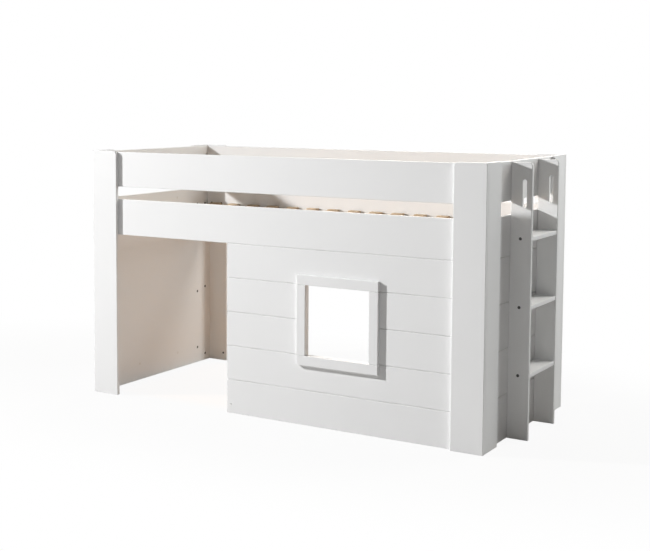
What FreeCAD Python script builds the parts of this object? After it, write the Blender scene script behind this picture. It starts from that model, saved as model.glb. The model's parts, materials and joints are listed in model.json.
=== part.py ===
import FreeCAD, Part
import os

# White mid-sleeper bed with a grooved play panel, a window and a ladder fixed to one end.
# Millimetres, +Z up. The front faces -Y and the ladder stands at the +X end.
# Shapes are placed from the left front corner of the bed on the floor. They are moved when
# they are saved, so that the origin lies on the floor under the middle of the outline.

Vector = FreeCAD.Vector
along_x = Vector(1, 0, 0)
along_y = Vector(0, 1, 0)
along_z = Vector(0, 0, 1)

# Space for the mattress
mattress_length = 2000.0
mattress_width = 900.0
mattress_end_play = 6.0
mattress_side_play = 4.0

# Boards
post_thickness = 18.0
panel_thickness = 16.0
edge_round = 2.0

# Corner posts, each a face board over the edge of a side board
post_height = 1212.0
post_face_width = 147.0
post_side_width = 140.0
post_corner_radius = 18.0

# Guards, rails and panels, from the post tops down
guard_drop = 5.0
guard_height = 170.0
guard_gap = 62.0
rail_height = 175.0
end_plank_count = 4
play_plank_count = 5
groove_width = 4.6
groove_depth = 3.8

# Play panel and its window, which stands on a plank line and is whole planks high
entrance_width = 646.0
window_centre_from_edge = 591.0
window_width = 320.0
window_planks_below = 2
window_planks_high = 2
frame_width = 45.0
frame_thickness = 16.0
frame_joint_gap = 0.8

# Ladder
stile_depth = 95.0
stile_thickness = 18.0
stile_spacing = 332.0
stile_drop = 5.0
stile_corner_radius = 15.0
stile_round = 3.0
slot_width = 18.0
slot_height = 121.0
slot_edge_distance = 24.5
slot_top_distance = 73.0
step_count = 3
step_rise = 297.0
step_depth = 92.0
step_thickness = 18.0
top_step_drop = 91.0

# Ledgers and slatted base
ledger_width = 28.0
ledger_height = 30.0
ledger_lift = 18.0
batten_width = 40.0
batten_height = 24.0
base_rest_gap = 0.3
slat_count = 16
slat_width = 53.0
slat_thickness = 8.0
slat_bow = 12.0
slat_end_inset = 8.0
cap_length = 32.0
cap_height = 20.0
cap_wall = 3.0
cap_floor = 5.5
cap_inset = 2.0
cap_slack = 2.2
peg_radius = 4.0
peg_length = 12.0

# Fasteners
bolt_radius = 3.0
bolt_head_radius = 7.0
bolt_head_height = 4.0
socket_width = 5.0
socket_depth = 2.5
insert_radius = 6.0
insert_length = 12.0
bolt_reach = 45.0
nut_radius = 5.0
nut_length = 12.0
nut_distance = 35.0
dowel_radius = 4.0
dowel_length = 34.0
dowel_seat = 12.0
post_dowel_count = 4
panel_dowel_count = 4
step_dowel_offset = 28.0
screw_radius = 2.0
screw_head_radius = 4.0
screw_head_height = 2.5
window_screw_bite = 10.0
ledger_screw_bite = 12.0
ledger_screw_count = 6
plug_depth = 13.0
fit_gap = 0.1

# Places of the bolts that hold boards to the posts
rail_bolt_places = (60.0, 124.0)
end_bolt_near = 45.0
end_bolt_far = 118.0
end_bolts_near_up = (38.0, 419.0)
end_bolts_far_up = (84.0, 400.0)
panel_bolt_inset = 20.0
panel_bolt_low = 42.0
panel_bolt_drop = 60.0
panel_hole_inset = 22.0
ladder_bolt_low = 85.0
ladder_bolt_drop = 40.0

# Sizes that follow
wall = post_thickness + panel_thickness
bed_length = mattress_length + 2 * mattress_end_play + 2 * wall
bed_width = mattress_width + 2 * mattress_side_play + 2 * wall
ladder_face = bed_length - post_thickness
overall_length = ladder_face + stile_depth

guard_top = post_height - guard_drop
guard_bottom = guard_top - guard_height
rail_top = guard_bottom - guard_gap
rail_bottom = rail_top - rail_height
guard_middle = guard_bottom + guard_height / 2
rail_middle = rail_bottom + rail_height / 2
plank_height = rail_bottom / play_plank_count

panel_left = post_face_width + entrance_width
panel_right = bed_length - wall
window_middle = panel_left + window_centre_from_edge
window_sill = window_planks_below * plank_height
window_head = window_sill + window_planks_high * plank_height

stile_top = guard_top - stile_drop
stile_centres = (bed_width / 2 - stile_spacing / 2, bed_width / 2 + stile_spacing / 2)
top_step = rail_top - top_step_drop
step_tops = [top_step - step_rise * (step_count - 1 - i) for i in range(step_count)]
step_middle = ladder_face + step_depth / 2

ledger_top = rail_bottom + ledger_lift + ledger_height
batten_bottom = ledger_top + base_rest_gap
batten_top = batten_bottom + batten_height
base_length = mattress_length
base_start = (bed_length - base_length) / 2
base_side = wall + mattress_side_play
slat_pitch = base_length / slat_count
slat_bottom = batten_top + cap_floor
slat_start = base_side + slat_end_inset


def block(x, y, z):
    """Box between three pairs of low and high coordinates."""
    corner = Vector(x[0], y[0], z[0])
    return Part.makeBox(x[1] - x[0], y[1] - y[0], z[1] - z[0], corner)


def rod(radius, start, way, length):
    return Part.makeCylinder(radius, length, start, way)


def other_end(x):
    return bed_length - x


def other_side(y):
    return bed_width - y


def flip_ends(shape):
    return shape.mirror(Vector(bed_length / 2, 0, 0), along_x)


def flip_sides(shape):
    return shape.mirror(Vector(0, bed_width / 2, 0), along_y)


def eased(board, radius):
    """Rounds the outlines of the two wide faces of a board that is thin along Y."""
    outlines = [edge for edge in board.Edges if edge.BoundBox.YLength < radius / 10]
    return board.makeFillet(radius, outlines)


def softened(board):
    return board.makeFillet(edge_round, board.Edges)


def softened_along(board, way):
    """Rounds the edges of a box that run along one axis."""
    edges = [edge for edge in board.Edges if abs(edge.tangentAt(edge.FirstParameter).dot(way)) > 0.9]
    return board.makeFillet(edge_round, edges)


def upright(width, height, thickness, corner_radius):
    """Board standing in X and Z, thin along Y, with its far top corner rounded."""
    shoulder = Vector(width, 0, height - corner_radius)
    crown = Vector(width - corner_radius, 0, height)
    inset = corner_radius * (1 - 0.5 ** 0.5)
    bend = Vector(width - inset, 0, height - inset)
    corners = [crown, Vector(0, 0, height), Vector(0, 0, 0), Vector(width, 0, 0), shoulder]
    edges = [Part.Arc(shoulder, bend, crown).toShape()]
    edges += [Part.makeLine(a, b) for a, b in zip(corners, corners[1:])]
    return Part.Face(Part.Wire(edges)).extrude(Vector(0, thickness, 0))


def headed(head_radius, head_height, radius, seat, way, length):
    """Flush head and shank, from the surface point seat into the wood."""
    return rod(head_radius, seat, way, head_height).fuse(rod(radius, seat, way, length))


def bolt(seat, way, length):
    """Flush bolt with a hexagon socket."""
    radius = socket_width / 3 ** 0.5
    corners = [Vector(radius, 0, 0)]
    turn = FreeCAD.Rotation(along_z, 60)
    for _ in range(6):
        corners.append(turn.multVec(corners[-1]))
    socket = Part.Face(Part.makePolygon(corners)).extrude(along_z * socket_depth)
    socket.Placement = FreeCAD.Placement(seat, FreeCAD.Rotation(along_z, way))
    body = headed(bolt_head_radius, bolt_head_height, bolt_radius, seat, way, length)
    return body.cut(socket)


def bolt_room(seat, way, length):
    head = bolt_head_radius + fit_gap
    return headed(head, bolt_head_height, bolt_radius + fit_gap, seat, way, length + fit_gap)


def screw(seat, way, length):
    return headed(screw_head_radius, screw_head_height, screw_radius, seat, way, length)


def screw_room(seat, way, length):
    head = screw_head_radius + fit_gap
    return headed(head, screw_head_height, screw_radius + fit_gap, seat, way, length + fit_gap)


def sleeve(radius, start, way, length):
    """Threaded insert: a tube that takes a bolt."""
    return rod(radius, start, way, length).cut(rod(bolt_radius + fit_gap, start, way, length))


def drilled(board, rooms):
    """Board with the holes of every fastener that reaches into it."""
    near = [room for room in rooms if room.BoundBox.intersect(board.BoundBox)]
    return board.cut(near) if near else board


def rail_bolts():
    """Seats and directions of the bolts from rails and guards into the post face boards."""
    places = []
    for z in (rail_middle, guard_middle):
        for x in rail_bolt_places:
            for end_x in (x, other_end(x)):
                places.append((Vector(end_x, wall, z), -along_y))
                places.append((Vector(end_x, other_side(wall), z), along_y))
    return places


def panel_bolts():
    """Bolts from the play panel into the right front post."""
    x = other_end(post_face_width - panel_bolt_inset)
    heights = (panel_bolt_low, rail_bottom / 2, rail_bottom - panel_bolt_drop)
    return [(Vector(x, wall, z), -along_y) for z in heights]


def end_bolts():
    """Bolts from end guards and end panels into the post side boards."""
    places = []
    for distance, low_heights in ((end_bolt_near, end_bolts_near_up), (end_bolt_far, end_bolts_far_up)):
        y = post_thickness + distance
        for z in low_heights + (rail_middle, guard_middle):
            for side_y in (y, other_side(y)):
                places.append((Vector(wall, side_y, z), -along_x))
                places.append((Vector(other_end(wall), side_y, z), along_x))
    return places


def spare_inserts():
    """Inserts low on the three face boards that carry no play panel."""
    x = post_face_width - panel_bolt_inset
    z = panel_bolt_low
    front = Vector(x, post_thickness, z)
    rear = other_side(post_thickness)
    return [(front, -along_y), (Vector(x, rear, z), along_y), (Vector(other_end(x), rear, z), along_y)]


def post_dowels():
    """Dowels across the joint of each face board and side board."""
    places = []
    start = post_thickness - dowel_seat
    for i in range(post_dowel_count):
        z = post_height * (i + 0.5) / post_dowel_count
        for x in (post_thickness / 2, other_end(post_thickness / 2)):
            places.append((Vector(x, start, z), along_y))
            places.append((Vector(x, other_side(start), z), -along_y))
    return places


def panel_dowels():
    """Dowels up from the play panel into the front rail."""
    pitch = (panel_right - panel_left) / panel_dowel_count
    y = post_thickness + panel_thickness / 2
    z = rail_bottom - dowel_length / 2
    return [(Vector(panel_left + pitch * (i + 0.5), y, z), along_z) for i in range(panel_dowel_count)]


def step_ends():
    """Inner face of each stile with the direction from it into the steps."""
    inner = stile_centres[0] + stile_thickness / 2
    return ((inner, along_y), (other_side(inner), -along_y))


def step_dowels():
    places = []
    for top in step_tops:
        for face, way in step_ends():
            for x in (step_middle - step_dowel_offset, step_middle + step_dowel_offset):
                start = Vector(x, face, top - step_thickness / 2) - way * dowel_seat
                places.append((start, way))
    return places


def step_bolts():
    places = []
    for top in step_tops:
        for face, way in step_ends():
            seat = Vector(step_middle, face, top - step_thickness / 2) - way * stile_thickness
            places.append((seat, way))
    return places


def ladder_bolts():
    """Bolts from inside the right end panel into the edges of the stiles."""
    places = []
    for y in stile_centres:
        for z in (ladder_bolt_low, rail_top - ladder_bolt_drop):
            places.append((Vector(other_end(wall), y, z), along_x))
    return places


def step_nuts():
    """Barrel nuts in the steps, from the underside up."""
    nuts = []
    for top in step_tops:
        for face, way in step_ends():
            middle = Vector(step_middle, face, top - step_thickness / 2) + way * nut_distance
            nuts.append((middle, along_z))
    return nuts


def stile_nuts():
    """Barrel nuts in the stiles, across their thickness, from the rear."""
    way_out = panel_thickness + nut_distance
    return [(seat + along_x * way_out, -along_y) for seat, _ in ladder_bolts()]


def barrel_nut(middle, way, cross):
    """Short cylinder with a cross hole for the bolt."""
    body = rod(nut_radius, middle - way * (nut_length / 2), way, nut_length)
    hole = rod(bolt_radius + fit_gap, middle - cross * nut_radius * 2, cross, nut_radius * 4)
    return body.cut(hole)


def nut_room(middle, way):
    """Blind hole for a barrel nut, open on one side."""
    start = middle - way * nut_length
    return rod(nut_radius + fit_gap, start, way, nut_length * 1.5 + fit_gap)


def window_screws():
    """Screws from behind the play panel into the four frame boards."""
    quarter = window_width / 4
    middle = window_sill + (window_head - window_sill) / 2
    lift = (window_head - window_sill) / 4
    reach = window_width / 2 + frame_width / 2
    places = []
    for sign in (-1, 1):
        for z in (window_head + frame_width / 2, window_sill - frame_width / 2):
            places.append((Vector(window_middle + sign * quarter, wall, z), -along_y))
        for z in (middle - lift, middle + lift):
            places.append((Vector(window_middle + sign * reach, wall, z), -along_y))
    return places


def ledger_screws():
    pitch = (bed_length - 2 * wall) / ledger_screw_count
    z = ledger_top - ledger_height / 2
    y = wall + ledger_width
    places = []
    for i in range(ledger_screw_count):
        x = wall + pitch * (i + 0.5)
        places.append((Vector(x, y, z), -along_y))
        places.append((Vector(x, other_side(y), z), along_y))
    return places


def cover_plugs():
    """Plugs in the bolt holes that serve a ladder at the left end."""
    return [(Vector(wall, seat.y, seat.z), -along_x) for seat, _ in ladder_bolts()]


def post_boards():
    """Face board and side board of each corner post."""
    face = eased(upright(post_face_width, post_height, post_thickness, post_corner_radius), edge_round)
    side = eased(upright(post_side_width, post_height, post_thickness, post_corner_radius), edge_round)
    side.rotate(Vector(0, 0, 0), along_z, 90)
    side.translate(Vector(post_thickness, post_thickness, 0))
    boards = {}
    for kind, board in (("face", face), ("side", side)):
        boards["front_left_post_" + kind] = board
        boards["front_right_post_" + kind] = flip_ends(board)
        boards["rear_left_post_" + kind] = flip_sides(board)
        boards["rear_right_post_" + kind] = flip_sides(flip_ends(board))
    return boards


def groove(start, way, length, inward):
    """Prism that cuts a V groove: it is twice as deep as the groove and half of it stands outside."""
    rise = along_z * groove_width
    depth = inward * groove_depth
    corners = [start - depth + rise, start + depth, start - depth - rise]
    face = Part.Face(Part.makePolygon(corners + corners[:1]))
    return face.extrude(way * length)


def play_groove(z):
    """Groove along the front of the play panel."""
    return groove(Vector(panel_left, post_thickness, z), along_x, panel_right - panel_left, along_y)


def long_boards():
    """Guards and rails of the front and the rear, between the end panels."""
    x = (wall, other_end(wall))
    y = (post_thickness, wall)
    guard = softened_along(block(x, y, (guard_bottom, guard_top)), along_x)
    rail = softened_along(block(x, y, (rail_bottom, rail_top)), along_x)
    return {
        "front_guard": guard,
        "front_rail": rail.cut(play_groove(rail_bottom)),
        "rear_guard": flip_sides(guard),
        "rear_rail": flip_sides(rail),
    }


def end_boards():
    """Guard and grooved panel of each end, from face board to face board."""
    x = (post_thickness, wall)
    y = (post_thickness, other_side(post_thickness))
    guard = softened_along(block(x, y, (guard_bottom, guard_top)), along_y)
    panel = softened_along(block(x, y, (0, rail_top)), along_y)
    width = y[1] - y[0]
    plank = rail_bottom / end_plank_count
    for i in range(end_plank_count):
        start = Vector(post_thickness, y[0], plank * (i + 1))
        panel = panel.cut(groove(start, along_y, width, along_x))
    return {
        "left_end_guard": guard,
        "left_end_panel": panel,
        "right_end_guard": flip_ends(guard),
        "right_end_panel": flip_ends(panel),
    }


def play_panel():
    """Grooved panel under the front rail with the window cut through it."""
    panel = softened(block((panel_left, panel_right), (post_thickness, wall), (0, rail_bottom)))
    for i in range(play_plank_count):
        panel = panel.cut(play_groove(plank_height * (i + 1)))
    half = window_width / 2
    opening = block((window_middle - half, window_middle + half), (0, bed_width), (window_sill, window_head))
    hole_start = Vector(panel_left + panel_hole_inset, 0, panel_bolt_low)
    hole = rod(bolt_radius + fit_gap, hole_start, along_y, bed_width)
    return panel.cut([opening, hole])


def window_frame():
    """Four boards on the face of the play panel, flush with the opening."""
    left = window_middle - window_width / 2
    right = window_middle + window_width / 2
    y = (post_thickness - frame_thickness, post_thickness)
    across = (left - frame_width, right + frame_width)
    between = (window_sill + frame_joint_gap, window_head - frame_joint_gap)
    spans = {
        "window_frame_top": (across, (window_head, window_head + frame_width)),
        "window_frame_bottom": (across, (window_sill - frame_width, window_sill)),
        "window_frame_left": ((left - frame_width, left), between),
        "window_frame_right": ((right, right + frame_width), between),
    }
    return {name: softened(block(x, y, z)) for name, (x, z) in spans.items()}


def ladder_stile():
    """Stile with a hand slot near its outer edge, standing against the end panel."""
    stile = upright(stile_depth, stile_top, stile_thickness, stile_corner_radius)
    radius = slot_width / 2
    x = stile_depth - slot_edge_distance - radius
    top = stile_top - slot_top_distance - radius
    low = top - slot_height + slot_width
    slot = block((x - radius, x + radius), (0, stile_thickness), (low, top))
    for z in (low, top):
        slot = slot.fuse(rod(radius, Vector(x, 0, z), along_y, stile_thickness))
    return eased(stile.cut(slot.removeSplitter()), stile_round)


def ladder():
    boards = {}
    for name, centre in zip(("front", "rear"), stile_centres):
        stile = ladder_stile()
        stile.translate(Vector(ladder_face, centre - stile_thickness / 2, 0))
        boards["ladder_" + name + "_stile"] = stile
    inner = stile_centres[0] + stile_thickness / 2
    for i, top in enumerate(step_tops):
        x = (ladder_face, ladder_face + step_depth)
        step = block(x, (inner, other_side(inner)), (top - step_thickness, top))
        boards["ladder_step_%d" % (i + 1)] = softened_along(step, along_y)
    return boards


def ledgers():
    x = (wall, other_end(wall))
    front = block(x, (wall, wall + ledger_width), (ledger_top - ledger_height, ledger_top))
    return {"front_ledger": front, "rear_ledger": flip_sides(front)}


def slat_middles():
    return [base_start + slat_pitch * (i + 0.5) for i in range(slat_count)]


def slat(middle):
    """Bowed slat: two arcs across the bed, drawn out along X."""
    near = slat_start
    far = other_side(slat_start)
    x = middle - slat_width / 2
    lift = along_z * slat_thickness
    crest = slat_bottom + slat_bow
    low = [Vector(x, near, slat_bottom), Vector(x, bed_width / 2, crest), Vector(x, far, slat_bottom)]
    high = [point + lift for point in low]
    edges = [Part.Arc(*low).toShape(), Part.makeLine(low[2], high[2])]
    edges += [Part.Arc(*high[::-1]).toShape(), Part.makeLine(high[0], low[0])]
    return Part.Face(Part.Wire(edges)).extrude(along_x * slat_width)


def cap_peg(middle):
    y = base_side + batten_width / 2
    return rod(peg_radius, Vector(middle, y, batten_top - peg_length), along_z, peg_length)


def peg_room(middle):
    y = base_side + batten_width / 2
    start = Vector(middle, y, batten_top - peg_length - fit_gap)
    return rod(peg_radius + fit_gap, start, along_z, peg_length + fit_gap)


def slat_cap(middle):
    """Front cap: a block with a pocket for the slat's end and a peg into the batten."""
    half = slat_width / 2
    y = base_side + cap_inset
    outer = block((middle - half - cap_wall, middle + half + cap_wall), (y, y + cap_length),
                  (batten_top, batten_top + cap_height))
    outer = softened_along(outer, along_y)
    pocket = block((middle - half - fit_gap, middle + half + fit_gap), (slat_start - fit_gap, y + cap_length),
                   (slat_bottom - fit_gap, slat_bottom + slat_thickness + cap_slack))
    return outer.cut(pocket).fuse(cap_peg(middle)).removeSplitter()


def slatted_base():
    """Two battens, bowed slats and the caps that hold the slats."""
    x = (base_start, base_start + base_length)
    batten = block(x, (base_side, base_side + batten_width), (batten_bottom, batten_top))
    batten = softened_along(batten, along_x).cut([peg_room(m) for m in slat_middles()])
    front_caps = [slat_cap(m) for m in slat_middles()]
    pieces = {
        "base_front_batten": batten,
        "base_rear_batten": flip_sides(batten),
        "front_slat_caps": Part.makeCompound(front_caps),
        "rear_slat_caps": Part.makeCompound([flip_sides(cap) for cap in front_caps]),
    }
    for i, middle in enumerate(slat_middles()):
        pieces["slat_%02d" % (i + 1)] = slat(middle)
    return pieces


def fasteners():
    """Groups of like fasteners, and the room that each one needs in the boards."""
    frame_length = panel_thickness + insert_length - 2 * fit_gap
    frame = rail_bolts() + panel_bolts() + end_bolts()
    inserts = [(seat + way * panel_thickness, way) for seat, way in frame] + spare_inserts()
    dowels = post_dowels() + panel_dowels() + step_dowels()
    step_length = stile_thickness + bolt_reach
    ladder_length = panel_thickness + bolt_reach
    window_length = panel_thickness + window_screw_bite
    ledger_length = ledger_width + ledger_screw_bite
    nuts = [barrel_nut(middle, way, along_y) for middle, way in step_nuts()]
    nuts += [barrel_nut(middle, way, along_x) for middle, way in stile_nuts()]
    plug_sizes = (bolt_head_radius, bolt_head_height, bolt_radius)
    plugs = [headed(*plug_sizes, *place, plug_depth) for place in cover_plugs()]
    groups = {
        "frame_bolts": [bolt(*place, frame_length) for place in frame],
        "frame_inserts": [sleeve(insert_radius, *place, insert_length) for place in inserts],
        "dowels": [rod(dowel_radius, *place, dowel_length) for place in dowels],
        "step_bolts": [bolt(*place, step_length) for place in step_bolts()],
        "ladder_bolts": [bolt(*place, ladder_length) for place in ladder_bolts()],
        "barrel_nuts": nuts,
        "cover_plugs": plugs,
        "window_screws": [screw(*place, window_length) for place in window_screws()],
        "ledger_screws": [screw(*place, ledger_length) for place in ledger_screws()],
    }
    rooms = [bolt_room(*place, frame_length) for place in frame]
    rooms += [rod(insert_radius + fit_gap, *place, insert_length + fit_gap) for place in inserts]
    rooms += [rod(dowel_radius + fit_gap, start - way * fit_gap, way, dowel_length + 2 * fit_gap)
              for start, way in dowels]
    rooms += [bolt_room(*place, step_length) for place in step_bolts()]
    rooms += [bolt_room(*place, ladder_length) for place in ladder_bolts()]
    rooms += [nut_room(*place) for place in step_nuts() + stile_nuts()]
    rooms += [bolt_room(*place, plug_depth) for place in cover_plugs()]
    rooms += [screw_room(*place, window_length) for place in window_screws()]
    rooms += [screw_room(*place, ledger_length) for place in ledger_screws()]
    return {name: Part.makeCompound(pieces) for name, pieces in groups.items()}, rooms


def save(name, shape):
    placed = shape.copy()
    placed.translate(Vector(-overall_length / 2, -bed_width / 2, 0))
    placed.exportStep("parts/" + name + ".step")


def main():
    os.makedirs("parts", exist_ok=True)
    groups, rooms = fasteners()
    boards = {"play_panel": play_panel()}
    for made in (post_boards(), long_boards(), end_boards(), window_frame(), ladder(), ledgers()):
        boards.update(made)
    for name, board in boards.items():
        save(name, drilled(board, rooms))
    for name, shape in {**groups, **slatted_base()}.items():
        save(name, shape)
    print("pieces", len(boards) + len(groups), "bed", bed_length, "by", bed_width, "by", post_height)


main()
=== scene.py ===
# %% [markdown]
# # A white loft bed in a plain studio
#
# The bed arrives from CAD as separate boards, slats and fasteners at their real size. Blender adds what
# CAD leaves out: the finish of every surface, the small moulded and turned pieces, the light and a camera.
# All lengths are metres in the frame of the CAD model, so nothing has to be fitted afterwards.

# %% Load the bed as a fixed frame
import bmesh
import bpy
import json
import math
from mathutils import Matrix, Vector


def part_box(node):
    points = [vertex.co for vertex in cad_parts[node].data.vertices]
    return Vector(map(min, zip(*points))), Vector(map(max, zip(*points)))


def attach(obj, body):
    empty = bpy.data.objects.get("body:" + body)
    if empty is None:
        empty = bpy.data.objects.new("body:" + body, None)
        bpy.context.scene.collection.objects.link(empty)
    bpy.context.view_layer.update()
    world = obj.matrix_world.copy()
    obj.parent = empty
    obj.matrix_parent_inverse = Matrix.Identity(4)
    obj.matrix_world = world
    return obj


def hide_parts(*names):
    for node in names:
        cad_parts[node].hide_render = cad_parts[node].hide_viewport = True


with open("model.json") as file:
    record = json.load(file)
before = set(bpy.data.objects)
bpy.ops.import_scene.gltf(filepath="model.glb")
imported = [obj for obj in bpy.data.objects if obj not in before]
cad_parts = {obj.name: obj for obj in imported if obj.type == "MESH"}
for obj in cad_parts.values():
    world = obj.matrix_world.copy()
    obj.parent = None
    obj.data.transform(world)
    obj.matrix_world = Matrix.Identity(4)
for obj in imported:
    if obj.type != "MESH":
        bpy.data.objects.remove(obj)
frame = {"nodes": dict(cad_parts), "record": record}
nodes = frame["nodes"]
scene = bpy.context.scene
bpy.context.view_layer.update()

# %% [markdown]
# ## Camera
#
# The picture was taken from the right, a little above the guard, with a lens that keeps uprights almost
# upright. A camera could simply be tilted down at the bed, but then the posts would lean together. A small
# shift of the lens does most of that work instead, and a slight tilt does the rest.

# %% Camera at the photograph's angle
camera_place = Vector((2.885, -5.128, 1.465))
camera_turn = math.radians(32.08)
camera_tilt = math.radians(4.59)
camera_roll = math.radians(0.19)
camera_lens = 67.5
camera_shift = (0.08, -0.12)

lens = bpy.data.cameras.new("camera")
lens.lens = camera_lens
lens.shift_x, lens.shift_y = camera_shift
camera = bpy.data.objects.new("camera", lens)
scene.collection.objects.link(camera)
aim = Matrix.Rotation(camera_turn, 4, "Z") @ Matrix.Rotation(math.pi / 2 - camera_tilt, 4, "X")
camera.matrix_world = Matrix.Translation(camera_place) @ aim @ Matrix.Rotation(camera_roll, 4, "Z")
scene.camera = camera
scene.view_settings.view_transform = "Standard"
print("camera at", [round(v, 2) for v in camera_place], "with a lens of", camera_lens, "mm")

# %% [markdown]
# ## Sums for shaders
#
# Node trees are tedious to wire one socket at a time. This small class wraps one output socket, so that a
# sum such as `0.3 + 0.1 * noise` adds its own Math nodes. Every other node comes from one method, which
# takes the node's type, its settings and then its sockets.


# %% A socket that does sums
class Wire:
    """One output of a node tree, with Python's operators for numbers."""

    def __init__(self, tree, socket=None):
        self.tree = tree
        self.socket = socket

    def add(self, kind, settings=None, sockets=None, output=0):
        """Adds a node: its settings are set first, then the values or links of its sockets."""
        node = self.tree.nodes.new("ShaderNode" + kind)
        for name, value in (settings or {}).items():
            setattr(node, name, value)
        for name, value in (sockets or {}).items():
            if isinstance(value, Wire):
                self.tree.links.new(value.socket, node.inputs[name])
            else:
                node.inputs[name].default_value = value
        return Wire(self.tree, node.outputs[output] if node.outputs else None)

    def math(self, operation, first, second=0.0, clamp=False):
        settings = {"operation": operation, "use_clamp": clamp}
        return self.add("Math", settings, {0: first, 1: second})

    def mix(self, factor, first, second):
        """Blend of two colours."""
        return self.add("Mix", {"data_type": "RGBA"}, {0: factor, 6: first, 7: second}, 2)

    def smooth(self, value, low, high):
        """Soft step from 0 at low to 1 at high."""
        settings = {"interpolation_type": "SMOOTHSTEP"}
        return self.add("MapRange", settings, {"Value": value, "From Min": low, "From Max": high})

    def noise(self, place, scale, detail=2.0, roughness=0.5):
        sockets = {"Vector": place, "Scale": scale, "Detail": detail, "Roughness": roughness}
        return self.add("TexNoise", {}, sockets)

    def stretched(self, place, scale):
        """The same place with each axis scaled, for grain that runs one way."""
        return self.add("Mapping", {}, {"Vector": place, "Scale": scale})

    def __add__(self, other):
        return self.math("ADD", self, other)

    def __radd__(self, other):
        return self.math("ADD", other, self)

    def __sub__(self, other):
        return self.math("SUBTRACT", self, other)

    def __rsub__(self, other):
        return self.math("SUBTRACT", other, self)

    def __mul__(self, other):
        return self.math("MULTIPLY", self, other)

    def __rmul__(self, other):
        return self.math("MULTIPLY", other, self)


def pen_for(tree):
    """Empties a node tree and gives a pen that writes nodes in it."""
    tree.nodes.clear()
    return Wire(tree)


print("shader sums are ready")

# %% [markdown]
# ## Studio
#
# The bed stands in a white studio. The floor could be lit until it is white, but then the bed would burn
# out. So the camera is shown a white share of floor and world directly, while bounced light still finds a
# plain pale floor. Under the bed that floor has the colour of warm wood, which throws its warmth up into the
# den. Near the bed enough of the real floor is left in the picture to keep the shadow.


# %% World
def seen_share(pen):
    """1 where the camera, a reflection or glass looks, and 0 for light that bounces."""
    kinds = ("Is Camera Ray", "Is Glossy Ray", "Is Transmission Ray")
    camera_ray, glossy_ray, through_ray = [pen.add("LightPath", output=kind) for kind in kinds]
    return pen.math("ADD", camera_ray + glossy_ray, through_ray, clamp=True)


white = (1.0, 1.0, 1.0, 1.0)
sky_color = (1.0, 0.995, 0.985, 1.0)
sky_strength = 0.048

scene.world = bpy.data.worlds.new("studio")
scene.world.use_nodes = True
pen = pen_for(scene.world.node_tree)
sky = pen.add("Background", {}, {"Color": sky_color, "Strength": sky_strength})
backdrop = pen.add("Background", {}, {"Color": white, "Strength": 1.0})
both = pen.add("MixShader", {}, {0: seen_share(pen), 1: sky, 2: backdrop})
pen.add("OutputWorld", {}, {"Surface": both})
print("world of strength", sky_strength)

# %% Floor
floor_size = 60.0
floor_color = (0.53, 0.52, 0.51, 1.0)
den_color = (0.80, 0.49, 0.25, 1.0)
white_share = 0.93
shadow_reach = (0.75, 1.7)
shadow_stretch = (0.5, 1.0, 1.0)
den_reach_x = (0.88, 1.06)
den_reach_y = (0.34, 0.48)

bpy.ops.object.select_all(action="DESELECT")
bpy.ops.mesh.primitive_plane_add(size=floor_size)
floor = bpy.context.object
floor.name = "floor"
material = bpy.data.materials.new("studio_floor")
material.use_nodes = True
pen = pen_for(material.node_tree)
place = pen.add("TexCoord", output="Object")
flat = pen.stretched(place, shadow_stretch)
distance = pen.add("VectorMath", {"operation": "LENGTH"}, {0: flat}, 1)
far = pen.smooth(distance, *shadow_reach)
share = seen_share(pen) * (white_share + (1 - white_share) * far)
x, y = [pen.math("ABSOLUTE", pen.add("SeparateXYZ", {}, {0: place}, axis)) for axis in ("X", "Y")]
den = (1 - pen.smooth(x, *den_reach_x)) * (1 - pen.smooth(y, *den_reach_y))
wood = pen.add("BsdfDiffuse", {}, {"Color": pen.mix(den, floor_color, den_color)})
glow = pen.add("Emission", {}, {"Color": white, "Strength": 1.0})
surface = pen.add("MixShader", {}, {0: share, 1: wood, 2: glow})
pen.add("OutputMaterial", {}, {"Surface": surface})
floor.data.materials.append(material)
print("floor", floor_size, "m wide")

# %% [markdown]
# ## Lamps
#
# One small lamp stands far out to the left and high in front. It draws the crisp shadows beside the window
# frame, shines over the guard and through its gaps onto the ladder, and leaves the rest of the ladder end in
# the shade. An ordinary lamp there would burn the left post and leave the right one dark. In a studio a
# feathered reflector evens that out, so the lamp is turned half away and its light falls off slowly. Three
# large soft panels behind the bed do the rest. They light the ladder end, the steps and, through the open
# back, the den. The two that reach furthest in are a little warm, like light that comes back from a room.


# %% Key lamp and soft panels
def lamp(name, place, target, size, power, color=(1.0, 1.0, 1.0)):
    """Square lamp at a place, turned towards a target and unseen by the camera."""
    data = bpy.data.lights.new(name, "AREA")
    data.energy = power
    data.size = size
    data.color = color
    made = bpy.data.objects.new(name, data)
    made.location = place
    made.rotation_euler = (Vector(target) - Vector(place)).to_track_quat("-Z", "Y").to_euler()
    made.visible_camera = False
    scene.collection.objects.link(made)
    return made


bed_middle = (0.0, 0.0, 0.6)
key_place = (-4.2, -2.6, 2.98)
key_target = (1.7, -6.3, 0.0)
key_color = (0.985, 0.992, 1.0, 1.0)
key = lamp("key_lamp", key_place, key_target, size=0.32, power=125.0)
key.data.shape = "DISK"
key.data.use_nodes = True
pen = pen_for(key.data.node_tree)
level = pen.add("LightFalloff", {}, {"Strength": 1.0}, "Linear")
glow = pen.add("Emission", {}, {"Color": key_color, "Strength": level})
pen.add("OutputLight", {}, {"Surface": glow})

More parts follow.
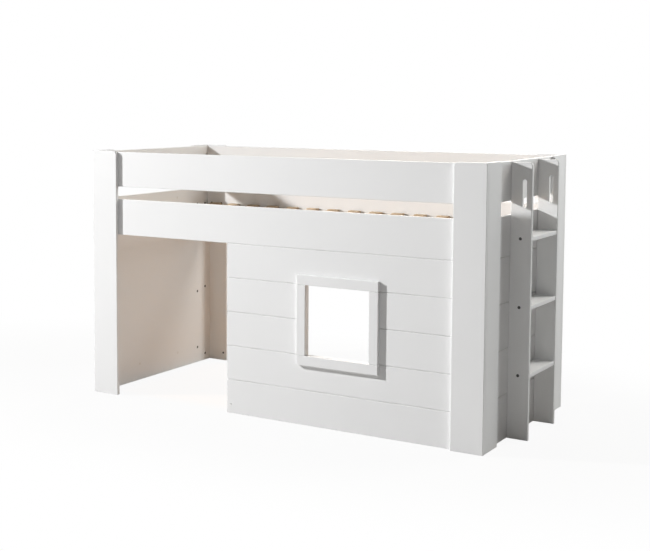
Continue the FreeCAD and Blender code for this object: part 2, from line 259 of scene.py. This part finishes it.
cool = (0.88, 0.96, 1.0)
warm = (1.0, 0.96, 0.90)
warmer = (1.0, 0.93, 0.85)
lamp("right_rear_panel", (3.4, 3.0, 2.0), bed_middle, size=1.6, power=48.0, color=cool)
lamp("left_rear_panel", (-1.5, 5.0, 2.6), bed_middle, size=2.4, power=135.0, color=warmer)
lamp("high_rear_panel", (2.4, 2.2, 4.0), bed_middle, size=1.8, power=97.0, color=warm)
print("key lamp at", key_place, "and three soft panels")


# %% [markdown]
# ## White lacquer
#
# Nearly every board is fibreboard with sprayed satin white lacquer. A flat white would look like paper. The
# real coat has a faint orange peel a few millimetres wide, a gloss that drifts a little from place to place
# and a white that is a touch warmer here than there. All three are noise, read in Object coordinates, so
# that the pattern runs on from board to board at its real size.


# %% White lacquer
def finish(name, build):
    """New material whose surface comes from a function that is handed a pen."""
    material = bpy.data.materials.new(name)
    material.use_nodes = True
    pen = pen_for(material.node_tree)
    place = pen.add("TexCoord", output="Object")
    sockets = build(pen, place)
    shader = pen.add("BsdfPrincipled", {}, sockets)
    pen.add("OutputMaterial", {}, {"Surface": shader})
    print("finish", name, "has", len(material.node_tree.nodes), "nodes")
    return material


def bumped(pen, height, distance, strength=1.0):
    return pen.add("Bump", {}, {"Height": height, "Distance": distance, "Strength": strength})


def lacquer(pen, place):
    drift = pen.noise(place, scale=2.2, detail=2.0)
    peel = pen.noise(place, scale=380.0, detail=1.0)
    haze = pen.noise(place, scale=26.0, detail=3.0)
    color = pen.mix(drift, (0.835, 0.835, 0.832, 1.0), (0.865, 0.862, 0.858, 1.0))
    roughness = 0.47 + 0.14 * (haze - 0.5)
    normal = bumped(pen, peel, 0.00006)
    return {"Base Color": color, "Roughness": roughness, "Normal": normal, "IOR": 1.5}


white_lacquer = finish("white_lacquer", lacquer)

# %% [markdown]
# ## Wood of the slats
#
# The slats are glued from thin veneers and bent over a form. Their faces show fine straight grain along the
# slat, each slat a little lighter or darker than the next, and their edges show the veneers as stripes. The
# stripes have to follow the bow, so the height above the bow is worked out first.

# %% Slat wood
slat_names = sorted(name for name in nodes if name.startswith("slat_"))
slat_boxes = [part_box(name) for name in slat_names]
slat_low, slat_high = slat_boxes[0]
slat_middles = [(low.x + high.x) / 2 for low, high in slat_boxes]
slat_pitch = slat_middles[1] - slat_middles[0]
slat_width = slat_high.x - slat_low.x
slat_thickness = 0.008
slat_half_length = slat_high.y
slat_bow = slat_high.z - slat_low.z - slat_thickness
veneer_thickness = 0.0014


def axis_values(pen, place):
    return [pen.add("SeparateXYZ", {}, {0: place}, axis) for axis in ("X", "Y", "Z")]


def laminated(pen, place):
    x, y, z = axis_values(pen, place)
    number = pen.math("ROUND", (x - slat_middles[0]) * (1 / slat_pitch))
    tone = pen.add("TexWhiteNoise", {"noise_dimensions": "1D"}, {"W": number}, "Value")
    streaks = pen.noise(pen.stretched(place, (1.0, 0.03, 1.0)), scale=190.0, detail=3.0, roughness=0.6)
    pores = pen.noise(pen.stretched(place, (1.0, 0.02, 1.0)), scale=900.0, detail=1.0)
    along = y * (1 / slat_half_length)
    height = z - slat_low.z - slat_bow * (1 - along * along)
    plies = pen.math("SINE", height * (2 * math.pi / veneer_thickness))
    normal = pen.add("NewGeometry", output="Normal")
    side = pen.math("ABSOLUTE", axis_values(pen, normal)[0])
    edge = pen.smooth(side, 0.6, 0.9)
    grain = 0.62 * streaks + 0.38 * tone
    face = pen.mix(pen.smooth(grain, 0.25, 0.75), (0.82, 0.62, 0.41, 1.0), (0.68, 0.48, 0.29, 1.0))
    layers = pen.mix(0.5 + 0.5 * plies, (0.70, 0.51, 0.33, 1.0), (0.46, 0.31, 0.17, 1.0))
    color = pen.mix(edge, face, layers)
    roughness = 0.42 + 0.2 * pores - 0.1 * streaks
    return {"Base Color": color, "Roughness": roughness, "Normal": bumped(pen, pores, 0.00008)}


slat_wood = finish("slat_wood", laminated)


# %% [markdown]
# ## Planed softwood
#
# Ledgers and battens are plain planed pine. Its growth rings run along the bed as wavy bands, pale early
# wood and darker late wood. The bands are a sine of the distance across the stick, bent by slow noise.


# %% Pine
def pine(pen, place):
    x, y, z = axis_values(pen, place)
    wander = pen.noise(pen.stretched(place, (0.12, 1.0, 1.0)), scale=22.0, detail=2.0)
    fibre = pen.noise(pen.stretched(place, (0.02, 1.0, 1.0)), scale=700.0, detail=2.0)
    rings = pen.math("SINE", (y + 0.7 * z) * 620.0 + 9.0 * wander)
    late = pen.smooth(rings, 0.1, 1.0)
    color = pen.mix(0.75 * late + 0.25 * fibre, (0.76, 0.56, 0.33, 1.0), (0.60, 0.37, 0.17, 1.0))
    roughness = 0.55 + 0.15 * fibre
    return {"Base Color": color, "Roughness": roughness, "Normal": bumped(pen, fibre, 0.0001)}


planed_pine = finish("planed_pine", pine)


# %% [markdown]
# ## Plastic and metal
#
# The slat caps are tan polypropylene with the fine pitted skin of a spark-eroded mould. Bolts and
# inserts are blackened steel, screws and barrel nuts are zinc plated, and the plugs that close unused holes
# are white plastic. Each is small in the picture, but its gloss gives it away, so each has its own.


# %% Plastic and metal
def tan_moulding(pen, place):
    pits = pen.noise(place, scale=1500.0, detail=2.0)
    cloud = pen.noise(place, scale=60.0, detail=2.0)
    color = pen.mix(cloud, (0.60, 0.46, 0.31, 1.0), (0.68, 0.53, 0.37, 1.0))
    roughness = 0.48 + 0.18 * pits
    return {"Base Color": color, "Roughness": roughness, "Normal": bumped(pen, pits, 0.00005)}


def blackened(pen, place):
    cloud = pen.noise(place, scale=240.0, detail=3.0)
    scuff = pen.noise(pen.stretched(place, (1.0, 1.0, 0.1)), scale=1200.0, detail=2.0)
    color = pen.mix(cloud, (0.075, 0.075, 0.077, 1.0), (0.140, 0.137, 0.132, 1.0))
    roughness = 0.34 + 0.22 * scuff
    return {"Base Color": color, "Roughness": roughness, "Metallic": 0.85,
            "Normal": bumped(pen, scuff, 0.00003)}


def zinc(pen, place):
    spangle = pen.add("TexVoronoi", {}, {"Vector": place, "Scale": 900.0}, "Color")
    cloud = pen.noise(place, scale=300.0, detail=2.0)
    shade = pen.math("ADD", 0.7 * axis_values(pen, spangle)[0], 0.3 * cloud)
    color = pen.mix(shade, (0.52, 0.52, 0.53, 1.0), (0.70, 0.70, 0.68, 1.0))
    return {"Base Color": color, "Roughness": 0.24 + 0.2 * cloud, "Metallic": 1.0}


def white_moulding(pen, place):
    pits = pen.noise(place, scale=1100.0, detail=1.0)
    cloud = pen.noise(place, scale=80.0, detail=2.0)
    color = pen.mix(cloud, (0.74, 0.73, 0.70, 1.0), (0.79, 0.78, 0.76, 1.0))
    return {"Base Color": color, "Roughness": 0.26 + 0.12 * pits, "Normal": bumped(pen, pits, 0.00003)}


tan_plastic = finish("tan_plastic", tan_moulding)
dark_metal = finish("dark_metal", blackened)
zinc_steel = finish("zinc_steel", zinc)
white_plastic = finish("white_plastic", white_moulding)

# %% [markdown]
# ## Dressing the CAD pieces
#
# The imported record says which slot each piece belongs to, so the finishes are handed out by slot. The CAD
# meshes themselves stay as they are.

# %% Finishes by slot
finishes = {
    "white_board": white_lacquer,
    "slat_wood": slat_wood,
    "pine": planed_pine,
    "tan_plastic": tan_plastic,
    "dark_metal": dark_metal,
    "steel": zinc_steel,
    "white_plastic": white_plastic,
}
for part in frame["record"]["subparts"]:
    mesh = nodes[part["node"]].data
    mesh.materials.clear()
    mesh.materials.append(finishes[part["material_slot"]])

# %% [markdown]
# ## Working by hand in edit mode
#
# The small pieces below start as primitives and are shaped in edit mode, as by hand. By hand one clicks on
# faces and edges. Here a short test on their place or direction does the clicking, so the same steps give
# the same piece every time.


# %% Selecting by a test
same_place = 0.00001


def deselect():
    bpy.ops.object.select_all(action="DESELECT")


def pick(kind, test):
    """In edit mode, selects the vertices, edges or faces that pass a test, and nothing else."""
    bpy.ops.mesh.select_mode(type=kind)
    bpy.ops.mesh.select_all(action="DESELECT")
    shape = bmesh.from_edit_mesh(bpy.context.object.data)
    items = {"VERT": shape.verts, "EDGE": shape.edges, "FACE": shape.faces}[kind]
    for item in items:
        item.select = test(item)
    shape.select_flush_mode()
    bmesh.update_edit_mesh(bpy.context.object.data)


def start_box(name, low, high):
    """New box between two corners, with its place in its mesh, ready in edit mode."""
    deselect()
    bpy.ops.mesh.primitive_cube_add(size=1.0, location=(low + high) / 2, scale=high - low)
    bpy.ops.object.transform_apply(location=True, rotation=True, scale=True)
    bpy.context.object.name = name
    bpy.ops.object.mode_set(mode="EDIT")
    return bpy.context.object


def only(pieces):
    """Selects some pieces and makes the first one active."""
    deselect()
    for piece in pieces:
        piece.select_set(True)
    bpy.context.view_layer.objects.active = pieces[0]


def copy_of(piece, move, turn=0.0):
    """Copy with a mesh of its own, turned about Z and moved, with its new place in that mesh."""
    only([piece])
    bpy.ops.object.duplicate()
    bpy.context.object.rotation_euler.z = turn
    bpy.ops.transform.translate(value=move)
    bpy.ops.object.transform_apply(location=True, rotation=True, scale=False)
    return bpy.context.object


def joined(name, pieces):
    only(pieces)
    bpy.ops.object.join()
    bpy.context.object.name = name
    return bpy.context.object


def mirrored(name, piece):
    """Copy on the other side of the bed, with its faces turned outwards again."""
    made = copy_of(piece, (0.0, 0.0, 0.0))
    made.name = name
    bpy.ops.transform.resize(value=(1.0, -1.0, 1.0), center_override=(0.0, 0.0, 0.0))
    bpy.ops.object.transform_apply(location=True, rotation=False, scale=True)
    bpy.ops.object.mode_set(mode="EDIT")
    bpy.ops.mesh.select_all(action="SELECT")
    bpy.ops.mesh.remove_doubles(threshold=same_place)
    bpy.ops.mesh.normals_make_consistent(inside=False)
    bpy.ops.object.mode_set(mode="OBJECT")
    return made


def fit_out(piece, body, node, slot):
    """Gives a piece its finish, hides the CAD node that it stands for and hangs the piece on the body that
    it rides on.
    """
    piece.data.materials.clear()
    piece.data.materials.append(finishes[slot])
    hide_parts(node)
    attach(piece, body)


print("tools for edit mode are ready")

# %% [markdown]
# ## Sprung slats
#
# A sprung slat is a strip of veneers, bent upwards and rounded along its edges so that it can't chafe the
# mattress. CAD gives its size and bow with sharp edges. A bent strip could be a curve with a flat profile,
# but a box that is subdivided and lifted ring by ring follows the same bow exactly and bevels cleanly.

# %% One slat
slat_cuts = 23
slat_edge_round = 0.0024
end_round = 0.0006
sharp_angle = math.radians(57)
smooth_angle = math.radians(35)


def along_bed_width(edge):
    step = edge.verts[1].co - edge.verts[0].co
    return abs(step.y) > max(abs(step.x), abs(step.z))


slat = start_box("sprung_slat_01", slat_low, Vector((slat_high.x, slat_high.y, slat_low.z + slat_thickness)))
pick("EDGE", along_bed_width)
bpy.ops.mesh.subdivide(number_cuts=slat_cuts)
for ring in range(1, slat_cuts + 1):
    along = 2 * ring / (slat_cuts + 1) - 1
    ring_y = along * slat_half_length
    pick("VERT", lambda vert: abs(vert.co.y - ring_y) < slat_half_length / slat_cuts / 4)
    bpy.ops.transform.translate(value=(0.0, 0.0, slat_bow * (1 - along * along)))
pick("EDGE", lambda edge: along_bed_width(edge) and edge.calc_face_angle() > sharp_angle)
bpy.ops.mesh.bevel(offset=slat_edge_round, segments=4, affect="EDGES")
pick("EDGE", lambda edge: not along_bed_width(edge) and edge.calc_face_angle() > sharp_angle)
bpy.ops.mesh.bevel(offset=end_round, segments=2, affect="EDGES")
bpy.ops.object.mode_set(mode="OBJECT")
bpy.ops.object.shade_smooth_by_angle(angle=smooth_angle)
print("one slat has", len(slat.data.polygons), "faces")

# %% All slats
slats = [slat] + [copy_of(slat, (middle - slat_middles[0], 0.0, 0.0)) for middle in slat_middles[1:]]
for piece, node in zip(slats, slat_names):
    piece.name = "sprung_" + node
    fit_out(piece, "slatted_base", node, "slat_wood")
print(len(slats), "slats")

# %% [markdown]
# ## Slat caps
#
# Each end of a slat sits in a moulded cap, which is pegged into the batten. The real cap has a pocket that
# is a little higher than the slat, walls of even thickness, soft edges and slots in its top that save
# plastic. All of it is cut from one box: the pocket by an inset and an extrusion, the slots between planes
# of bisect cuts, and the soft edges by a bevel modifier at the end.

# %% Body of one cap
caps_low, caps_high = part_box("front_slat_caps")
batten_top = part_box("base_front_batten")[1].z
cap_half = slat_middles[0] - caps_low.x
cap_wall = cap_half - slat_width / 2
cap_slack = 0.0022
pocket_gap = 0.0001
facing = 0.9
pocket_depth = caps_high.y + slat_half_length + pocket_gap
cap_low = Vector((caps_low.x, caps_low.y, batten_top))
cap_high = Vector((slat_middles[0] + cap_half, caps_high.y, caps_high.z))


def in_mouth(item, low, high):
    """True for a vertex of the inset mouth between two heights."""
    place = item.co
    inside = abs(place.x - slat_middles[0]) < cap_half - cap_wall / 2
    return inside and abs(place.y - cap_high.y) < pocket_gap and low < place.z < high


cap = start_box("front_cap", cap_low, cap_high)
pick("FACE", lambda face: face.normal.y > facing)
bpy.ops.mesh.inset(thickness=cap_wall)
middle_height = (cap_low.z + cap_high.z) / 2
floor_lift = slat_low.z - pocket_gap - (cap_low.z + cap_wall)
roof_lift = slat_low.z + slat_thickness + cap_slack - (cap_high.z - cap_wall)
pick("VERT", lambda vert: in_mouth(vert, cap_low.z + cap_wall / 2, middle_height))
bpy.ops.transform.translate(value=(0.0, 0.0, floor_lift))
pick("VERT", lambda vert: in_mouth(vert, middle_height, cap_high.z - cap_wall / 2))
bpy.ops.transform.translate(value=(0.0, 0.0, roof_lift))
pick("FACE", lambda face: all(in_mouth(vert, cap_low.z, cap_high.z) for vert in face.verts))
bpy.ops.mesh.extrude_region_move(TRANSFORM_OT_translate={"value": (0.0, -pocket_depth, 0.0)})
print("cap pocket", round(pocket_depth, 4), "m deep")

# %% Slots in the top of the cap
slot_count = 4
slot_pitch = 0.011
slot_half_width = 0.0022
slot_margin = 0.007
slot_depth = 0.0016
slot_places = [slat_middles[0] + (i - (slot_count - 1) / 2) * slot_pitch for i in range(slot_count)]
for x in slot_places:
    for side in (-slot_half_width, slot_half_width):
        bpy.ops.mesh.select_all(action="SELECT")
        bpy.ops.mesh.bisect(plane_co=(x + side, 0.0, 0.0), plane_no=(1.0, 0.0, 0.0))
for y in (cap_low.y + slot_margin, cap_high.y - slot_margin):
    bpy.ops.mesh.select_all(action="SELECT")
    bpy.ops.mesh.bisect(plane_co=(0.0, y, 0.0), plane_no=(0.0, 1.0, 0.0))


def on_slot(face):
    middle = face.calc_center_median()
    across = min(abs(middle.x - x) for x in slot_places) < slot_half_width
    within = cap_low.y + slot_margin < middle.y < cap_high.y - slot_margin
    return across and within and middle.z > cap_high.z - slot_depth / 2


pick("FACE", on_slot)
bpy.ops.mesh.extrude_region_move(TRANSFORM_OT_translate={"value": (0.0, 0.0, -slot_depth)})
bpy.ops.object.mode_set(mode="OBJECT")
bpy.ops.object.modifier_add(type="BEVEL")
edges = cap.modifiers[-1]
edges.width = 0.0007
edges.segments = 2
edges.limit_method = "ANGLE"
edges.angle_limit = math.radians(40)
bpy.ops.object.modifier_apply(modifier=edges.name)
bpy.ops.object.shade_smooth_by_angle(angle=smooth_angle)
print("one cap has", len(cap.data.polygons), "faces")

# %% Peg under the cap
peg_radius = 0.004
peg_taper = 0.7
peg_length = batten_top - caps_low.z
batten_low, batten_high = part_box("base_front_batten")
peg_place = (slat_middles[0], (batten_low.y + batten_high.y) / 2, batten_top - peg_length / 2)
deselect()
bpy.ops.mesh.primitive_cylinder_add(vertices=20, radius=peg_radius, depth=peg_length, location=peg_place)
peg = bpy.context.object
bpy.ops.object.transform_apply(location=True, rotation=True, scale=True)
bpy.ops.object.mode_set(mode="EDIT")
pick("FACE", lambda face: face.normal.z < -facing)
bpy.ops.mesh.extrude_region_move(TRANSFORM_OT_translate={"value": (0.0, 0.0, 0.0)})
bpy.ops.transform.resize(value=(peg_taper, peg_taper, 1.0), center_override=peg_place)
pick("VERT", lambda vert: vert.co.z < caps_low.z + pocket_gap and
     (vert.co.xy - Vector(peg_place[:2])).length > peg_radius * 0.9)
bpy.ops.transform.translate(value=(0.0, 0.0, peg_length / 6))
bpy.ops.object.mode_set(mode="OBJECT")
bpy.ops.object.shade_smooth_by_angle(angle=smooth_angle)
cap = joined("front_cap", [cap, peg])
print("peg", round(peg_length, 4), "m long")

# %% Both rows of caps
caps = [cap] + [copy_of(cap, (middle - slat_middles[0], 0.0, 0.0)) for middle in slat_middles[1:]]
front_caps = joined("front_caps", caps)
rear_caps = mirrored("rear_caps", front_caps)
fit_out(front_caps, "slatted_base", "front_slat_caps", "tan_plastic")
fit_out(rear_caps, "slatted_base", "rear_slat_caps", "tan_plastic")
print("two rows of", len(slat_middles), "caps")

# %% [markdown]
# ## Screws with a cross recess
#
# Screws hold the window frame from behind the panel and the ledgers to the rails. Only their heads show.
# CAD draws them as plain discs, and what makes a screw of a disc is the cross. It could be painted, but a
# real recess catches the light, so two crossed bars are cut out of the head by a boolean.

# %% Head and shank
along_y = (math.pi / 2, 0.0, 0.0)


def headed_pin(name, head_radius, head_height, shank_radius, length, tip_length, tip_share):
    """Turned pin with its head's face at the origin, looking at +Y, and its tip at -Y."""
    deselect()
    middle = (0.0, -head_height / 2, 0.0)
    bpy.ops.mesh.primitive_cylinder_add(vertices=32, radius=head_radius, depth=head_height, location=middle,
                                        rotation=along_y)
    pin = bpy.context.object
    pin.name = name
    bpy.ops.object.transform_apply(location=True, rotation=True, scale=True)
    bpy.ops.object.mode_set(mode="EDIT")
    rim_drop = head_height / 6
    pick("FACE", lambda face: face.normal.y > facing)
    bpy.ops.mesh.inset(thickness=head_height / 3)
    pick("VERT", lambda vert: vert.co.y > -rim_drop and vert.co.xz.length > head_radius * 0.97)
    bpy.ops.transform.translate(value=(0.0, -rim_drop, 0.0))
    pick("FACE", lambda face: face.normal.y < -facing)
    bpy.ops.mesh.inset(thickness=head_radius - shank_radius)
    shank_length = length - head_height - tip_length
    bpy.ops.mesh.extrude_region_move(TRANSFORM_OT_translate={"value": (0.0, -shank_length, 0.0)})
    bpy.ops.mesh.extrude_region_move(TRANSFORM_OT_translate={"value": (0.0, -tip_length, 0.0)})
    bpy.ops.transform.resize(value=(tip_share, 1.0, tip_share), center_override=(0.0, -length, 0.0))
    bpy.ops.object.mode_set(mode="OBJECT")
    return pin


def recess(pin, cutter):
    """Cuts one piece out of another and throws the cutter away."""
    only([pin])
    bpy.ops.object.modifier_add(type="BOOLEAN")
    cut = pin.modifiers[-1]
    cut.operation = "DIFFERENCE"
    cut.object = cutter
    bpy.ops.object.modifier_apply(modifier=cut.name)
    only([cutter])
    bpy.ops.object.delete()
    only([pin])
    bpy.ops.object.shade_smooth_by_angle(angle=smooth_angle)


def set_of(name, first, places):
    """A copy of the first piece at each place and turn, joined into one piece."""
    copies = [copy_of(first, move, turn) for move, turn in places]
    only([first])
    bpy.ops.object.delete()
    return joined(name, copies)


print("headed pins can be turned and cut")

# %% One screw
screw_head_radius = 0.004
screw_head_height = 0.0025
screw_radius = 0.002
screw_tip_length = 0.005
screw_tip_share = 0.1
cross_reach = 0.0023
cross_half_width = 0.00045
cross_depth = 0.0014


def cross_screw(length):
    screw = headed_pin("screw", screw_head_radius, screw_head_height, screw_radius, length,
                       screw_tip_length, screw_tip_share)
    for half_x, half_z in ((cross_reach, cross_half_width), (cross_half_width, cross_reach)):
        corner = Vector((half_x, cross_depth, half_z))
        bar = start_box("bar", -corner, corner)
        bpy.ops.object.mode_set(mode="OBJECT")
        recess(screw, bar)
    return screw


print("the cross is", cross_reach * 2, "m wide")

# %% Screws of the window frame
top, bottom, left, right = [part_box("window_frame_" + side) for side in ("top", "bottom", "left", "right")]
panel_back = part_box("play_panel")[1].y
window_middle = (left[1].x + right[0].x) / 2
quarter_width = (right[0].x - left[1].x) / 4
sill, lintel = bottom[1].z, top[0].z
quarter_height = (lintel - sill) / 4
seats = []
for side in (-1, 1):
    for low, high in (top, bottom):
        seats.append((window_middle + side * quarter_width, panel_back, (low.z + high.z) / 2))
    for low, high in (left, right):
        height = (sill + lintel) / 2 + side * quarter_height
        seats.append(((low.x + high.x) / 2, panel_back, height))
screw_low, screw_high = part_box("window_screws")
window_screw = cross_screw(screw_high.y - screw_low.y)
window_screws = set_of("window_cross_screws", window_screw, [(seat, 0.0) for seat in seats])
fit_out(window_screws, "bed_frame", "window_screws", "steel")
print(len(seats), "window screws")

# %% Screws of the ledgers
ledger_screw_count = 6
ledger_low, ledger_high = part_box("front_ledger")
ledger_pitch = (ledger_high.x - ledger_low.x) / ledger_screw_count
ledger_middle = (ledger_low.z + ledger_high.z) / 2
places = [ledger_low.x + ledger_pitch * (i + 0.5) for i in range(ledger_screw_count)]
seats = [(x, ledger_high.y, ledger_middle) for x in places]
ledger_screw_length = ledger_high.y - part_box("ledger_screws")[0].y
ledger_screw = cross_screw(ledger_screw_length)
front_screws = set_of("ledger_cross_screws", ledger_screw, [(seat, 0.0) for seat in seats])
rear_screws = mirrored("rear_ledger_screws", front_screws)
ledger_screws = joined("ledger_cross_screws", [front_screws, rear_screws])
fit_out(ledger_screws, "bed_frame", "ledger_screws", "steel")
print(2 * len(seats), "ledger screws")

# %% [markdown]
# ## Bolts with a hexagon socket
#
# Frame, steps and ladder are bolted, and a hexagon key turns the bolts. In the picture their heads are dark
# dots. CAD gives the heads sharp rims, and a real head is turned with a small slope around its face, which
# catches a ring of light. The socket is cut out with a six-sided cylinder. Where the bolts sit is read from
# the CAD mesh, solid by solid, instead of being typed in again.


# %% Places of the bolts
def bolt_places(node):
    """Length of a node's bolts, and the head's place and turn for each of them."""
    shape = bmesh.new()
    shape.from_mesh(nodes[node].data)
    bmesh.ops.remove_doubles(shape, verts=shape.verts, dist=same_place)
    waiting = set(shape.verts)
    found = []
    while waiting:
        group = [waiting.pop()]
        for vert in group:
            near = [edge.other_vert(vert) for edge in vert.link_edges]
            fresh = [other for other in near if other in waiting]
            waiting.difference_update(fresh)
            group.extend(fresh)
        points = [vert.co.copy() for vert in group]
        low = Vector(min(point[axis] for point in points) for axis in range(3))
        high = Vector(max(point[axis] for point in points) for axis in range(3))
        axis = 0 if high.x - low.x > high.y - low.y else 1
        middle = (low + high) / 2
        widest = max(points, key=lambda point: abs(point.z - middle.z))
        forward = widest[axis] > middle[axis]
        head = middle.copy()
        head[axis] = high[axis] if forward else low[axis]
        turn = {(0, True): -90, (0, False): 90, (1, True): 0, (1, False): 180}[(axis, forward)]
        found.append((tuple(head), math.radians(turn), high[axis] - low[axis]))
    shape.free()
    found.sort()
    return found[0][2], [(head, turn) for head, turn, length in found]


print("bolt places are read from CAD")

# %% Bolts
bolt_head_radius = 0.007
bolt_head_height = 0.004
bolt_radius = 0.003
socket_radius = 0.0030
socket_depth = 0.0027
bolt_tip_length = 0.001
bolt_tip_share = 0.75


def socket_bolt(length):
    bolt = headed_pin("bolt", bolt_head_radius, bolt_head_height, bolt_radius, length, bolt_tip_length,
                      bolt_tip_share)
    deselect()
    bpy.ops.mesh.primitive_cylinder_add(vertices=6, radius=socket_radius, depth=2 * socket_depth,
                                        rotation=along_y)
    hexagon = bpy.context.object
    bpy.ops.object.transform_apply(location=True, rotation=True, scale=True)
    recess(bolt, hexagon)
    return bolt


for node in ("frame_bolts", "ladder_bolts", "step_bolts"):
    length, places = bolt_places(node)
    bolts = set_of("socket_" + node, socket_bolt(length), places)
    fit_out(bolts, "bed_frame", node, "dark_metal")
    print(len(places), node, round(length, 4), "m long")
